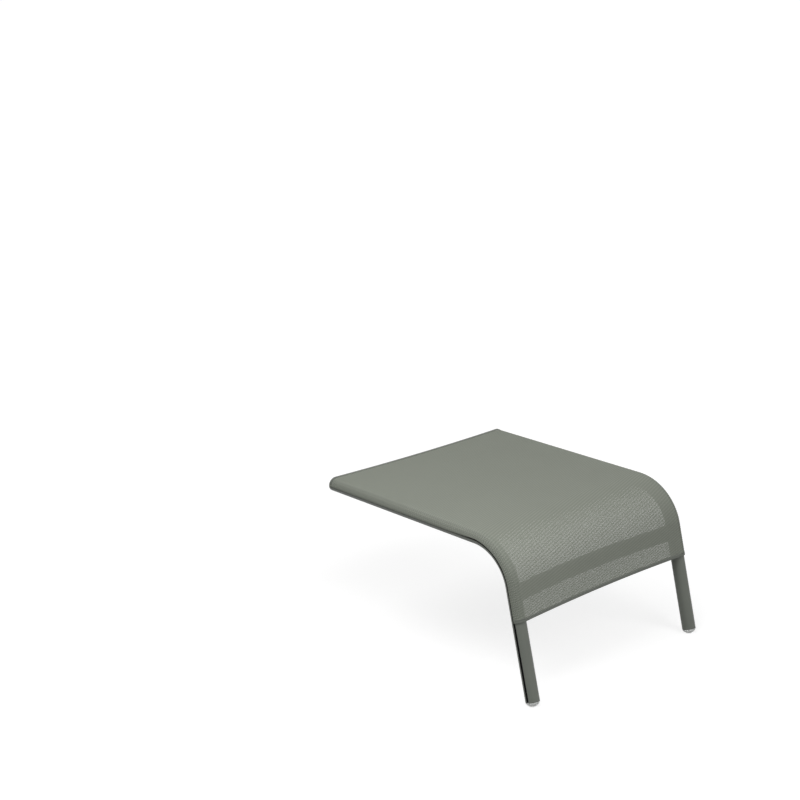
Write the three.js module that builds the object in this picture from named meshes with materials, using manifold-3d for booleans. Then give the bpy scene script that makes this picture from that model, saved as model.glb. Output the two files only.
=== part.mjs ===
// Footrest for a low outdoor chair: two bent tube rails with a mesh sling stretched between them.
// Two front legs stand on the floor, and two hooks at the rear hang on a bar of the chair.
// Millimetres. +Z is up, +Y is the rear with the hooks, and X runs across the footrest.
// The origin is on the floor, in the middle of the whole footrest.
import * as THREE from 'three';
import { mergeVertices } from 'three/addons/utils/BufferGeometryUtils.js';
import Module from 'manifold-3d';

// Overall sizes
const TOP_HEIGHT = 334; // top of the rails above the floor
const RAIL_SPACING = 520; // between the rails' centrelines
const TOP_LENGTH = 438; // straight run of a rail, from its rear end to the bend
const BEND_RADIUS = 106; // of the centreline
const BEND_DEGREES = 75; // so that the legs lean forward
const BEND_STEPS = 10;

// Rail tube, with a keder channel in its outer side
const TUBE_RADIUS = 15;
const TUBE_WALL = 1.8;
const SLOT_WIDTH = 4; // mouth of the channel
const LIP_THICKNESS = 1.8; // the wall that the slot passes
const CHANNEL_RADIUS = 4.3;
const CHANNEL_WALL = 1.4;

// Clearances
const FIT_GAP = 0.3; // between pieces that touch on the real footrest
const SCREW_CLEARANCE = 0.4; // round a screw in its hole
const OVERRUN = 5; // a cutter's extra length past what it cuts

// Sling and its cords
const SLING_THICKNESS = 1.2;
const HEM_DISTANCE = 72; // from the end of the bend down the leg, at the rails
const HEM_ARCH = 5; // how much higher the front hem is at mid width
const REAR_ARCH = 7; // how far forward the rear hem is at mid width
const HEM_STEPS = 10;
const REAR_MARGIN = 1.5; // the sling stops short of the rails' rear ends
const CORD_RADIUS = 3.6;

// Crossbars
const BAR_RADIUS = 15;
const FRONT_BAR_WIDTH = 34.5; // along the legs, where the front bar is oval
const BAR_WALL = 1.8;
const BAR_BOW = 25; // away from the sling at mid width
const BAR_STEPS = 12;
const FRONT_BAR_DISTANCE = 17.4; // from the end of the bend down the leg
const REAR_BAR_INSET = 33; // from the rails' rear ends
const WELD_SIZE = 2.4; // how far a bead stands proud of both tubes

// Foot glides and rear plugs
const GLIDE_HEIGHT = 11; // of the dome, along the leg
const GLIDE_FLAT_DEPTH = 1.2; // worn off the dome where it stands
const PLUG_DOME_HEIGHT = 4;
const STEM_LENGTH = 18;
const STEM_CLEARANCE = 0.35;

// Keder stops and their set screws
const STOP_LENGTH = 12;
const STOP_RADIUS = 3.8;
const STOP_HEM_GAP = 1; // below the hem
const SET_SCREW_RADIUS = 1.4;
const SET_SCREW_LENGTH = 5;
const SET_SOCKET_RADIUS = 0.8;
const SET_SOCKET_DEPTH = 1.5;

// Hook brackets and liners
const HOOK_SPACING = 200; // between the two brackets' middles
const HOOK_WIDTH = 30;
const HOOK_WALL = 4;
const HOOK_JAW = 5; // wall between the footrest's bar and the chair's
const HOOK_FRONT_DROP = 5; // front leg, below the bar's axis
const HOOK_JAW_DROP = 8;
const HOOK_REAR_DROP = 9;
const HOOK_CORNER = 4;
const CHAIR_BAR_RADIUS = 15; // what the hooks take
const CHAIR_BAR_PLAY = 0.5;
const LINER_WALL = 1.5;
const LINER_DROP = 6;

// Hook screws and the blind threaded inserts that take them
const SCREW_RADIUS = 2.4;
const SCREW_LENGTH = 13;
const SCREW_HEAD_RADIUS = 4.6;
const SCREW_HEAD_HEIGHT = 2.6;
const SCREW_RIM_SHARE = 1 / 3; // of the head's height, up to where it narrows
const SCREW_DRIVE_RADIUS = 1.7;
const SCREW_DRIVE_DEPTH = 1.4;
const SCREW_OFFSET = 7; // each side of the bracket's middle
const INSERT_WALL = 0.7;
const INSERT_LENGTH = 9;
const INSERT_BULGE = 1.3; // the collar that grips the tube's inner wall
const INSERT_BULGE_LENGTH = 3;

// Segment counts
const TUBE_SEGMENTS = 24;
const BORE_SEGMENTS = 18; // round a rail's hollow, without its channel wall
const CHANNEL_SEGMENTS = 8;
const WRAP_SEGMENTS = 6;
const SMALL_SEGMENTS = 10;
const CORD_SEGMENTS = 8;
const DOME_SEGMENTS = 3;
const CORNER_SEGMENTS = 3;

// Worked out from the sizes above
const BEND_ANGLE = THREE.MathUtils.degToRad(BEND_DEGREES);
const BEND_LENGTH = BEND_RADIUS * BEND_ANGLE;
const CENTRE_HEIGHT = TOP_HEIGHT - TUBE_RADIUS;
const HALF_SPACING = RAIL_SPACING / 2;
const LEG_TOP_HEIGHT = CENTRE_HEIGHT - BEND_RADIUS * (1 - Math.cos(BEND_ANGLE));
const LEG_REACH = LEG_TOP_HEIGHT / Math.sin(BEND_ANGLE); // along the leg's axis to the floor
const CHANNEL_CENTRE = TUBE_RADIUS - LIP_THICKNESS - CHANNEL_RADIUS;
const BORE_RADIUS = TUBE_RADIUS - TUBE_WALL;
const SLING_INNER = TUBE_RADIUS + FIT_GAP;
const SLING_OUTER = SLING_INNER + SLING_THICKNESS;
const BAR_CURVE_RADIUS = (HALF_SPACING ** 2 + BAR_BOW ** 2) / (2 * BAR_BOW);

// A dome of given base radius and height is a cap of a sphere.
const sphereRadius = (base, height) => (base ** 2 + height ** 2) / (2 * height);
const GLIDE_SPHERE = sphereRadius(TUBE_RADIUS, GLIDE_HEIGHT);
// The glide's sphere touches down GLIDE_FLAT_DEPTH below the floor, which cuts it flat.
const GLIDE_CENTRE_HEIGHT = GLIDE_SPHERE - GLIDE_FLAT_DEPTH;
const GLIDE_CENTRE_LIFT = GLIDE_CENTRE_HEIGHT / Math.sin(BEND_ANGLE);
const TUBE_END_LIFT = GLIDE_CENTRE_LIFT + GLIDE_HEIGHT - GLIDE_SPHERE;
const RAIL_END = BEND_LENGTH + LEG_REACH - TUBE_END_LIFT;
const RAIL_START = -TOP_LENGTH;

const wasm = await Module();
wasm.setup();

// Solids and geometries

function solidFrom(geometry) {
  const bare = geometry.clone();
  bare.deleteAttribute('normal');
  bare.deleteAttribute('uv');
  const merged = mergeVertices(bare);
  return new wasm.Manifold(new wasm.Mesh({
    numProp: 3,
    vertProperties: new Float32Array(merged.attributes.position.array),
    triVerts: new Uint32Array(merged.index.array),
  }));
}

function geometryFrom(solid) {
  const mesh = solid.getMesh();
  const geometry = new THREE.BufferGeometry();
  geometry.setAttribute('position', new THREE.BufferAttribute(mesh.vertProperties, 3));
  geometry.setIndex(new THREE.BufferAttribute(mesh.triVerts, 1));
  geometry.computeVertexNormals();
  return geometry;
}

// Outlines

function arcPoints(centreX, centreY, radius, from, to, steps) {
  return Array.from({ length: steps + 1 }, (_, i) => {
    const angle = from + (to - from) * i / steps;
    return new THREE.Vector2(centreX + radius * Math.cos(angle), centreY + radius * Math.sin(angle));
  });
}

function circleShape(radius, segments) {
  return new THREE.Shape(arcPoints(0, 0, radius, 0, 2 * Math.PI, segments).slice(1));
}

// The hollow of a rail beside its channel: a round bore less the channel's own wall.
function borePoints(clearance) {
  const bore = BORE_RADIUS - clearance;
  const wall = CHANNEL_RADIUS + CHANNEL_WALL + clearance;
  const crossing = (bore ** 2 + CHANNEL_CENTRE ** 2 - wall ** 2) / (2 * CHANNEL_CENTRE);
  const boreAngle = Math.acos(crossing / bore);
  const wallAngle = Math.acos((crossing - CHANNEL_CENTRE) / wall);
  return [
    ...arcPoints(0, 0, bore, boreAngle, 2 * Math.PI - boreAngle, BORE_SEGMENTS),
    ...arcPoints(CHANNEL_CENTRE, 0, wall, 2 * Math.PI - wallAngle, wallAngle, CHANNEL_SEGMENTS).slice(1, -1),
  ];
}

// A rail's section: a round tube with the channel opening in its outer side, towards +X.
function railShape() {
  const mouthAngle = Math.asin(SLOT_WIDTH / 2 / TUBE_RADIUS);
  const throatAngle = Math.asin(SLOT_WIDTH / 2 / CHANNEL_RADIUS);
  const shape = new THREE.Shape([
    ...arcPoints(0, 0, TUBE_RADIUS, mouthAngle, 2 * Math.PI - mouthAngle, TUBE_SEGMENTS),
    ...arcPoints(CHANNEL_CENTRE, 0, CHANNEL_RADIUS, 2 * Math.PI - throatAngle, throatAngle, CHANNEL_SEGMENTS),
  ]);
  shape.holes.push(new THREE.Path(borePoints(0)));
  return shape;
}

// A section for one side: the right side's as drawn, the left side's mirrored, which turns its
// outlines round, so they are listed backwards to run the same way again.
function sided(shape, side) {
  const flip = (path) => {
    const points = path.getPoints().map((point) => new THREE.Vector2(side * point.x, point.y));
    return side < 0 ? points.reverse() : points;
  };
  const turned = new THREE.Shape(flip(shape));
  turned.holes = shape.holes.map((hole) => new THREE.Path(flip(hole)));
  return turned;
}

// The sling's section: flat over both rails, round their outer sides and in through the slots.
function slingShape() {
  const half = SLING_THICKNESS / 2;
  const cordGap = CHANNEL_CENTRE + CORD_RADIUS + FIT_GAP;
  const innerAngle = Math.asin(half / SLING_INNER);
  const right = [
    new THREE.Vector2(HALF_SPACING + cordGap, half),
    ...arcPoints(HALF_SPACING, 0, SLING_INNER, innerAngle, Math.PI / 2, WRAP_SEGMENTS),
  ];
  const back = [
    ...arcPoints(HALF_SPACING, 0, SLING_OUTER, 0, Math.PI / 2, WRAP_SEGMENTS).reverse(),
    new THREE.Vector2(HALF_SPACING + SLING_OUTER, -half),
    new THREE.Vector2(HALF_SPACING + cordGap, -half),
  ];
  const mirror = (points) => points.map((p) => new THREE.Vector2(-p.x, p.y)).reverse();
  return new THREE.Shape([...right, ...mirror(right), ...mirror(back), ...back]);
}

// Paths

// A path given by its stations, one to each ring of the swept solid. A station has its place, and the
// directions of the section's own x and y there.
class StationPath extends THREE.Curve {
  constructor(stations) {
    super();
    this.stations = stations;
  }

  getPointAt(share) {
    return this.stations[Math.round(share * (this.stations.length - 1))].place.clone();
  }

  computeFrenetFrames() {
    return {
      normals: this.stations.map((station) => station.across),
      binormals: this.stations.map((station) => station.up),
      tangents: this.stations.map((station) => station.across.clone().cross(station.up)),
    };
  }
}

function sweep(shape, stations) {
  const steps = stations.length - 1;
  return new THREE.ExtrudeGeometry(shape, { steps, extrudePath: new StationPath(stations) });
}

// The station at a distance along the rails' centreline. Distance 0 is where the bend starts, and
// negative distances lie towards the rear.
function railStation(distance, x = 0) {
  const heading = THREE.MathUtils.clamp(distance / BEND_RADIUS, 0, BEND_ANGLE);
  const straight = Math.min(distance, 0) + Math.max(distance - BEND_LENGTH, 0);
  const along = new THREE.Vector3(0, -Math.cos(heading), -Math.sin(heading));
  const onBend = new THREE.Vector3(
    x,
    -BEND_RADIUS * Math.sin(heading),
    CENTRE_HEIGHT - BEND_RADIUS * (1 - Math.cos(heading)),
  );
  return {
    place: onBend.addScaledVector(along, straight),
    across: new THREE.Vector3(1, 0, 0),
    up: new THREE.Vector3(0, -Math.sin(heading), Math.cos(heading)),
    along,
  };
}

function railStations(from, to, x = 0) {
  const bends = Array.from({ length: BEND_STEPS + 1 }, (_, i) => BEND_LENGTH * i / BEND_STEPS);
  const between = bends.filter((distance) => distance > from && distance < to);
  return [from, ...between, to].map((distance) => railStation(distance, x));
}

// A crossbar bows away from the sling in one plane. Its stations run from the left rail to the right.
const bowAt = (x) => Math.sqrt(BAR_CURVE_RADIUS ** 2 - x ** 2) - (BAR_CURVE_RADIUS - BAR_BOW);

function barStation(distance, x) {
  const { place, up } = railStation(distance);
  const slope = x / Math.sqrt(BAR_CURVE_RADIUS ** 2 - x ** 2);
  const along = new THREE.Vector3(1, 0, 0).addScaledVector(up, slope).normalize();
  const raised = up.clone().addScaledVector(along, -along.dot(up)).normalize();
  return {
    place: place.addScaledVector(up, -bowAt(x)).setX(x),
    across: raised.clone().cross(along),
    up: raised,
  };
}

function barStations(distance) {
  return Array.from({ length: BAR_STEPS + 1 }, (_, i) => {
    return barStation(distance, HALF_SPACING * (2 * i / BAR_STEPS - 1));
  });
}

// A group whose own axes lie along three given directions.
function frameAt(place, xAxis, yAxis, zAxis) {
  const frame = new THREE.Group();
  frame.quaternion.setFromRotationMatrix(new THREE.Matrix4().makeBasis(xAxis, yAxis, zAxis));
  frame.position.copy(place);
  return frame;
}

// A geometry as it stands in a frame, and that frame's own parents.
function placed(geometry, frame) {
  frame.updateWorldMatrix(true, false);
  return geometry.clone().applyMatrix4(frame.matrixWorld);
}

// Materials

const paint = () => new THREE.MeshStandardMaterial({ color: 0x6b7068, roughness: 0.55, metalness: 0.2 });
const slingMesh = () => new THREE.MeshStandardMaterial({ color: 0x858a7f, roughness: 0.85, metalness: 0 });
const cordPlastic = () => new THREE.MeshStandardMaterial({ color: 0x4a4d48, roughness: 0.6, metalness: 0 });
const palePlastic = () => new THREE.MeshStandardMaterial({ color: 0xd2d4d0, roughness: 0.4, metalness: 0 });
const darkPlastic = () => new THREE.MeshStandardMaterial({ color: 0x2c2e2b, roughness: 0.6, metalness: 0 });
const steel = () => new THREE.MeshStandardMaterial({ color: 0x9c9c98, roughness: 0.35, metalness: 1 });

function piece(name, geometry, material) {
  const part = new THREE.Mesh(geometry, material);
  part.name = name;
  return part;
}

// Rails, crossbars and welds

const FRONT_BAR = { distance: BEND_LENGTH + FRONT_BAR_DISTANCE, width: FRONT_BAR_WIDTH };
const REAR_BAR = { distance: RAIL_START + REAR_BAR_INSET, width: 2 * BAR_RADIUS };
const sides = [['left', -1], ['right', 1]];

function railGeometry(side) {
  return sweep(sided(railShape(), side), railStations(RAIL_START, RAIL_END, side * HALF_SPACING));
}

// A plain round bar along a rail, to cut a crossbar's end or a weld to the rail's outside.
function railCutter(side, radius) {
  const stations = railStations(RAIL_START - OVERRUN, RAIL_END + OVERRUN, side * HALF_SPACING);
  return solidFrom(sweep(circleShape(radius, TUBE_SEGMENTS), stations));
}

// A plain bar in a crossbar's place, oval or round, grown all round by an offset.
function barSolid({ distance, width }, offset) {
  const points = arcPoints(0, 0, 1, 0, 2 * Math.PI, TUBE_SEGMENTS).slice(0, -1);
  const [halfWidth, halfHeight] = [width / 2 + offset, BAR_RADIUS + offset];
  const shape = new THREE.Shape(points.map(({ x, y }) => new THREE.Vector2(x * halfWidth, y * halfHeight)));
  return solidFrom(sweep(shape, barStations(distance)));
}

function barTube(bar) {
  const tube = barSolid(bar, 0).subtract(barSolid(bar, -BAR_WALL));
  return sides.reduce((rest, [, side]) => rest.subtract(railCutter(side, TUBE_RADIUS + FIT_GAP)), tube);
}

// A bead fills the corner between a rail and a crossbar's end. It is ground flush under the sling.
function weldSolid(bar, side) {
  const proud = TUBE_RADIUS + WELD_SIZE;
  const roomTop = SLING_INNER + OVERRUN;
  const slingRoom = new THREE.Shape([
    new THREE.Vector2(-RAIL_SPACING, TUBE_RADIUS),
    new THREE.Vector2(RAIL_SPACING, TUBE_RADIUS),
    new THREE.Vector2(RAIL_SPACING, roomTop),
    new THREE.Vector2(-RAIL_SPACING, roomTop),
  ]);
  return railCutter(side, proud)
    .intersect(barSolid(bar, WELD_SIZE))
    .subtract(railCutter(side, TUBE_RADIUS + FIT_GAP))
    .subtract(barSolid(bar, FIT_GAP))
    .subtract(solidFrom(sweep(slingRoom, railStations(RAIL_START, RAIL_END))));
}

// Sling and cords

// What an arched hem leaves free between the rails. Inward points from the sling's edge into the sheet.
function archRoom({ place, up }, across, inward, arch) {
  const radius = (HALF_SPACING ** 2 + arch ** 2) / (2 * arch);
  const half = Math.asin(HALF_SPACING / radius);
  const [from, to] = [Math.PI / 2 - half, Math.PI / 2 + half];
  const outline = new THREE.Shape([
    ...arcPoints(0, arch - radius, radius, from, to, HEM_STEPS),
    new THREE.Vector2(-HALF_SPACING, -OVERRUN),
    new THREE.Vector2(HALF_SPACING, -OVERRUN),
  ]);
  const depth = SLING_OUTER - BORE_RADIUS + OVERRUN;
  const room = new THREE.ExtrudeGeometry(outline, { depth, bevelEnabled: false });
  room.applyMatrix4(new THREE.Matrix4().makeBasis(across, inward, up));
  const base = place.clone().addScaledVector(up, BORE_RADIUS);
  room.translate(base.x, base.y, base.z);
  return solidFrom(room);
}

function slingGeometry() {
  const [start, end] = [RAIL_START + REAR_MARGIN, BEND_LENGTH + HEM_DISTANCE];
  const [rear, front] = [railStation(start), railStation(end)];
  const panel = solidFrom(sweep(slingShape(), railStations(start, end)));
  const rearRoom = archRoom(rear, rear.across.clone().negate(), rear.along, REAR_ARCH);
  const frontRoom = archRoom(front, front.across, front.along.clone().negate(), HEM_ARCH);
  return geometryFrom(panel.subtract(rearRoom).subtract(frontRoom));
}

function cordGeometry(side) {
  const x = side * (HALF_SPACING + CHANNEL_CENTRE);
  const stations = railStations(RAIL_START + REAR_MARGIN, BEND_LENGTH + HEM_DISTANCE, x);
  return sweep(circleShape(CORD_RADIUS, CORD_SEGMENTS), stations);
}

// Glides and rear plugs

// A dome on a rail's end, with a stem that fits the hollow beside the channel. Z points out of the
// tube from its end, and X to the right of the footrest.
function plugSolid(side, height) {
  const sphere = sphereRadius(TUBE_RADIUS, height);
  const rim = Math.asin(TUBE_RADIUS / sphere);
  const profile = arcPoints(0, height - sphere, sphere, Math.PI / 2 - rim, Math.PI / 2, DOME_SEGMENTS);
  profile[0].y = FIT_GAP;
  profile[DOME_SEGMENTS].x = 0;
  const dome = new THREE.LatheGeometry([new THREE.Vector2(0, FIT_GAP), ...profile], TUBE_SEGMENTS);
  dome.rotateX(Math.PI / 2);
  const stemShape = sided(new THREE.Shape(borePoints(STEM_CLEARANCE)), side);
  const depth = STEM_LENGTH + height / 2;
  const stem = new THREE.ExtrudeGeometry(stemShape, { depth, bevelEnabled: false });
  stem.translate(0, 0, -STEM_LENGTH);
  return solidFrom(dome).add(solidFrom(stem));
}

function rearPlugGeometry(side) {
  const { place, across, up, along } = railStation(RAIL_START, side * HALF_SPACING);
  const frame = frameAt(place, across, up.negate(), along.negate());
  return placed(geometryFrom(plugSolid(side, PLUG_DOME_HEIGHT)), frame);
}

// A glide is cut flat where it stands on the floor.
function glideGeometry(side) {
  const { place, across, up, along } = railStation(RAIL_END, side * HALF_SPACING);
  const frame = frameAt(place, across, up, along);
  const glide = solidFrom(placed(geometryFrom(plugSolid(side, GLIDE_HEIGHT)), frame));
  const floor = new THREE.BoxGeometry(RAIL_SPACING, RAIL_SPACING, GLIDE_HEIGHT);
  floor.translate(place.x, place.y, -GLIDE_HEIGHT / 2);
  return geometryFrom(glide.subtract(solidFrom(floor)));
}

// Keder stops: slugs in the channels, just below the hem, each held by a set screw. Z points along the
// screw, out of the slot, and Y up the leg.

function stopFrame(side) {
  const distance = BEND_LENGTH + HEM_DISTANCE + STOP_HEM_GAP + STOP_LENGTH / 2;
  const { place, across, up, along } = railStation(distance, side * (HALF_SPACING + CHANNEL_CENTRE));
  const upLeg = along.negate();
  const out = across.multiplyScalar(side);
  return frameAt(place, upLeg.clone().cross(out), upLeg, out);
}

function stopGeometry() {
  const slug = new THREE.CylinderGeometry(STOP_RADIUS, STOP_RADIUS, STOP_LENGTH, SMALL_SEGMENTS);
  const bore = SET_SCREW_RADIUS + FIT_GAP;
  const hole = new THREE.CylinderGeometry(bore, bore, STOP_LENGTH, SMALL_SEGMENTS).rotateX(Math.PI / 2);
  return geometryFrom(solidFrom(slug).subtract(solidFrom(hole)));
}

// The set screw bears on the channel's floor and has a hexagon socket in its outer end.
function setScrewGeometry() {
  const bottom = FIT_GAP - STOP_RADIUS;
  const top = bottom + SET_SCREW_LENGTH;
  return new THREE.LatheGeometry([
    new THREE.Vector2(0, bottom),
    new THREE.Vector2(SET_SCREW_RADIUS, bottom),
    new THREE.Vector2(SET_SCREW_RADIUS, top),
    new THREE.Vector2(SET_SOCKET_RADIUS, top),
    new THREE.Vector2(SET_SOCKET_RADIUS, top - SET_SOCKET_DEPTH),
    new THREE.Vector2(0, top - SET_SOCKET_DEPTH),
  ], SMALL_SEGMENTS).rotateX(Math.PI / 2);
}

// Hook brackets. A bracket's frame has X along the rear crossbar, Y to the rear and Z up, and starts
// on the bar's axis.

const HOOK_INNER = BAR_RADIUS + FIT_GAP;
const HOOK_TOP = HOOK_INNER + HOOK_WALL;
const POCKET_START = HOOK_INNER + HOOK_JAW;
const POCKET_END = POCKET_START + 2 * (CHAIR_BAR_RADIUS + CHAIR_BAR_PLAY + LINER_WALL + FIT_GAP);

function hookFrame(side) {
  const x = side * HOOK_SPACING / 2;
  const { place, across, up } = barStation(REAR_BAR.distance, x);
  return frameAt(place, across.clone().cross(up), across, up);
}

// An outline drawn rearwards and up, as a solid across the bracket's width.
function acrossBracket(points) {
  const shape = new THREE.Shape(points.map(([rear, up]) => new THREE.Vector2(rear, up)));
  const geometry = new THREE.ExtrudeGeometry(shape, { depth: HOOK_WIDTH, bevelEnabled: false });
  geometry.translate(0, 0, -HOOK_WIDTH / 2);
  const [x, y, z] = [0, 1, 2].map((axis) => new THREE.Vector3().setComponent(axis, 1));
  return geometry.applyMatrix4(new THREE.Matrix4().makeBasis(y, z, x));
}

function bracketSolid() {
  const front = -HOOK_TOP;
  const rear = POCKET_END + HOOK_WALL;
  const corner = (centre, from) => arcPoints(
    centre, HOOK_TOP - HOOK_CORNER, HOOK_CORNER, from, from + Math.PI / 2, CORNER_SEGMENTS,
  ).map((point) => point.toArray());
  return solidFrom(acrossBracket([
    ...corner(rear - HOOK_CORNER, 0),
    ...corner(front + HOOK_CORNER, Math.PI / 2),
    [front, -HOOK_FRONT_DROP],
    [-HOOK_INNER, -HOOK_FRONT_DROP],
    [-HOOK_INNER, HOOK_INNER],
    [HOOK_INNER, HOOK_INNER],
    [HOOK_INNER, -HOOK_JAW_DROP],
    [POCKET_START, -HOOK_JAW_DROP],
    [POCKET_START, HOOK_INNER],
    [POCKET_END, HOOK_INNER],
    [POCKET_END, -HOOK_REAR_DROP],
    [rear, -HOOK_REAR_DROP],
  ]));
}

function linerGeometry() {
  const start = POCKET_START + FIT_GAP;
  const end = POCKET_END - FIT_GAP;
  const top = HOOK_INNER - FIT_GAP;
  return acrossBracket([
    [end, top],
    [start, top],
    [start, -LINER_DROP],
    [start + LINER_WALL, -LINER_DROP],
    [start + LINER_WALL, top - LINER_WALL],
    [end - LINER_WALL, top - LINER_WALL],
    [end - LINER_WALL, -LINER_DROP],
    [end, -LINER_DROP],
  ]);
}

// Hook screws. A seat's frame starts on the bar's axis, and its Z points out along the screw: one
// screw goes down through the bracket's roof and one rearwards through its front leg.

function screwSeats() {
  const top = new THREE.Group();
  top.name = 'top';
  top.position.x = -SCREW_OFFSET;
  const front = new THREE.Group();
  front.name = 'front';
  front.position.x = SCREW_OFFSET;
  front.rotation.x = Math.PI / 2;
  return [top, front];
}

function screwGeometry() {
  const shoulder = (SCREW_HEAD_RADIUS + SCREW_DRIVE_RADIUS) / 2;
  return new THREE.LatheGeometry([
    new THREE.Vector2(0, -SCREW_LENGTH),
    new THREE.Vector2(SCREW_RADIUS, -SCREW_LENGTH),
    new THREE.Vector2(SCREW_RADIUS, 0),
    new THREE.Vector2(SCREW_HEAD_RADIUS, 0),
    new THREE.Vector2(SCREW_HEAD_RADIUS, SCREW_HEAD_HEIGHT * SCREW_RIM_SHARE),
    new THREE.Vector2(shoulder, SCREW_HEAD_HEIGHT),
    new THREE.Vector2(SCREW_DRIVE_RADIUS, SCREW_HEAD_HEIGHT),
    new THREE.Vector2(SCREW_DRIVE_RADIUS, SCREW_HEAD_HEIGHT - SCREW_DRIVE_DEPTH),
    new THREE.Vector2(0, SCREW_HEAD_HEIGHT - SCREW_DRIVE_DEPTH),
  ], SMALL_SEGMENTS).rotateX(Math.PI / 2).translate(0, 0, HOOK_TOP + FIT_GAP);
}

// The insert's collar is pulled up against the inside of the tube's wall.
function insertGeometry() {
  const bore = SCREW_RADIUS + FIT_GAP;
  const outer = bore + INSERT_WALL;
  const collar = outer + INSERT_BULGE;
  const wallInside = Math.sqrt((BAR_RADIUS - BAR_WALL) ** 2 - collar ** 2);
  const underWall = wallInside - FIT_GAP - BAR_RADIUS;
  return new THREE.LatheGeometry([
    new THREE.Vector2(bore, -INSERT_LENGTH),
    new THREE.Vector2(outer, -INSERT_LENGTH),
    new THREE.Vector2(outer, underWall - INSERT_BULGE_LENGTH),
    new THREE.Vector2(collar, underWall - INSERT_BULGE_LENGTH),
    new THREE.Vector2(collar, underWall),
    new THREE.Vector2(outer, underWall),
    new THREE.Vector2(outer, 0),
    new THREE.Vector2(bore, 0),
    new THREE.Vector2(bore, -INSERT_LENGTH),
  ], SMALL_SEGMENTS).rotateX(Math.PI / 2).translate(0, 0, BAR_RADIUS);
}

// A drill from the bar's axis out through whatever lies in front of a screw seat.
function drill(radius) {
  const depth = HOOK_TOP + OVERRUN;
  const bit = new THREE.CylinderGeometry(radius, radius, depth, SMALL_SEGMENTS).rotateX(Math.PI / 2);
  return bit.translate(0, 0, depth / 2);
}

function bracketGeometry() {
  const holes = screwSeats().map((seat) => solidFrom(placed(drill(SCREW_RADIUS + SCREW_CLEARANCE), seat)));
  return geometryFrom(holes.reduce((bracket, hole) => bracket.subtract(hole), bracketSolid()));
}

function rearBarGeometry() {
  const radius = SCREW_RADIUS + INSERT_WALL + 2 * FIT_GAP;
  const holes = sides.flatMap(([, side]) => {
    const seats = screwSeats();
    hookFrame(side).add(...seats);
    return seats.map((seat) => solidFrom(placed(drill(radius), seat)));
  });
  return geometryFrom(holes.reduce((bar, hole) => bar.subtract(hole), barTube(REAR_BAR)));
}

// Assembly

const footrest = new THREE.Group();
footrest.add(
  piece('front_crossbar', geometryFrom(barTube(FRONT_BAR)), paint()),
  piece('rear_crossbar', rearBarGeometry(), paint()),
  piece('sling', slingGeometry(), slingMesh()),
);

for (const [name, side] of sides) {
  footrest.add(
    piece(`${name}_rail`, railGeometry(side), paint()),
    piece(`${name}_front_weld`, geometryFrom(weldSolid(FRONT_BAR, side)), paint()),
    piece(`${name}_rear_weld`, geometryFrom(weldSolid(REAR_BAR, side)), paint()),
    piece(`${name}_keder_cord`, cordGeometry(side), cordPlastic()),
    piece(`${name}_rear_plug`, rearPlugGeometry(side), darkPlastic()),
    piece(`${name}_foot_glide`, glideGeometry(side), palePlastic()),
  );

  const stop = stopFrame(side);
  stop.add(
    piece(`${name}_keder_stop`, stopGeometry(), darkPlastic()),
    piece(`${name}_stop_screw`, setScrewGeometry(), steel()),
  );

  const hook = hookFrame(side);
  hook.add(
    piece(`${name}_hook_bracket`, bracketGeometry(), paint()),
    piece(`${name}_hook_liner`, linerGeometry(), darkPlastic()),
  );
  for (const seat of screwSeats()) {
    seat.add(
      piece(`${name}_${seat.name}_hook_screw`, screwGeometry(), steel()),
      piece(`${name}_${seat.name}_insert`, insertGeometry(), steel()),
    );
    hook.add(seat);
  }
  footrest.add(stop, hook);
}

// The origin goes to the middle of the whole footrest, on the floor.
const box = new THREE.Box3().setFromObject(footrest, true);
footrest.position.y = -(box.min.y + box.max.y) / 2;

export default footrest;
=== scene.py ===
# %% [markdown]
# # A footrest with a stretched mesh sling
#
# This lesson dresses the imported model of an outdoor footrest: two bent tubes carry a sling of open
# mesh, and two hooks at the rear hang on a round bar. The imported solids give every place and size. Each
# visible piece is then made again as a smooth numpy surface with its own finish. Everything is in
# metres, with Z up and Y to the rear.

import bmesh
import bpy
import numpy as np
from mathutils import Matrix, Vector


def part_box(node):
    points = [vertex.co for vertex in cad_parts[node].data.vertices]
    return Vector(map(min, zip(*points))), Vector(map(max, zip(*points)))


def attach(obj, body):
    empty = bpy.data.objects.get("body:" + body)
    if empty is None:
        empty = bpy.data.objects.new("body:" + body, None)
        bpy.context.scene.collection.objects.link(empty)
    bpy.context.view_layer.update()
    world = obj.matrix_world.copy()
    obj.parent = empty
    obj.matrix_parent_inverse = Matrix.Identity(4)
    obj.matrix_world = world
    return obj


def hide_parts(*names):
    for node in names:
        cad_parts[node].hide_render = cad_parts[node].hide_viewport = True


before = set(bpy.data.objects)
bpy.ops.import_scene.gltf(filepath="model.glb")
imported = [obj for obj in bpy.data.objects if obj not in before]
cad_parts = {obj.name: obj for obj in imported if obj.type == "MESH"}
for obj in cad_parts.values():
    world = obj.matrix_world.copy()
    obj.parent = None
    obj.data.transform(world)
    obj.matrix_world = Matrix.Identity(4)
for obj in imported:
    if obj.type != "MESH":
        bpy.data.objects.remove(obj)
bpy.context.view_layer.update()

# %% [markdown]
# ## The camera
#
# The camera could be turned by hand until the picture looks right. Here it comes from a fit to the
# outlines of the rails, the rear edge and the feet, which is good to a third of a pixel. A camera has
# three directions of its own: right, up, and back towards the viewer. They are worked out from two
# angles and a small roll, and are the columns of its matrix.

# %% Camera
from mathutils import Matrix

IMAGE_PIXELS, FOCAL_PIXELS = 800, 1650.14
SENSOR = 36.0
AZIMUTH, ELEVATION, ROLL = -43.715, 16.534, 0.323
CAMERA_PLACE = [-2.548085, -2.306657, 1.542189]


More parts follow.
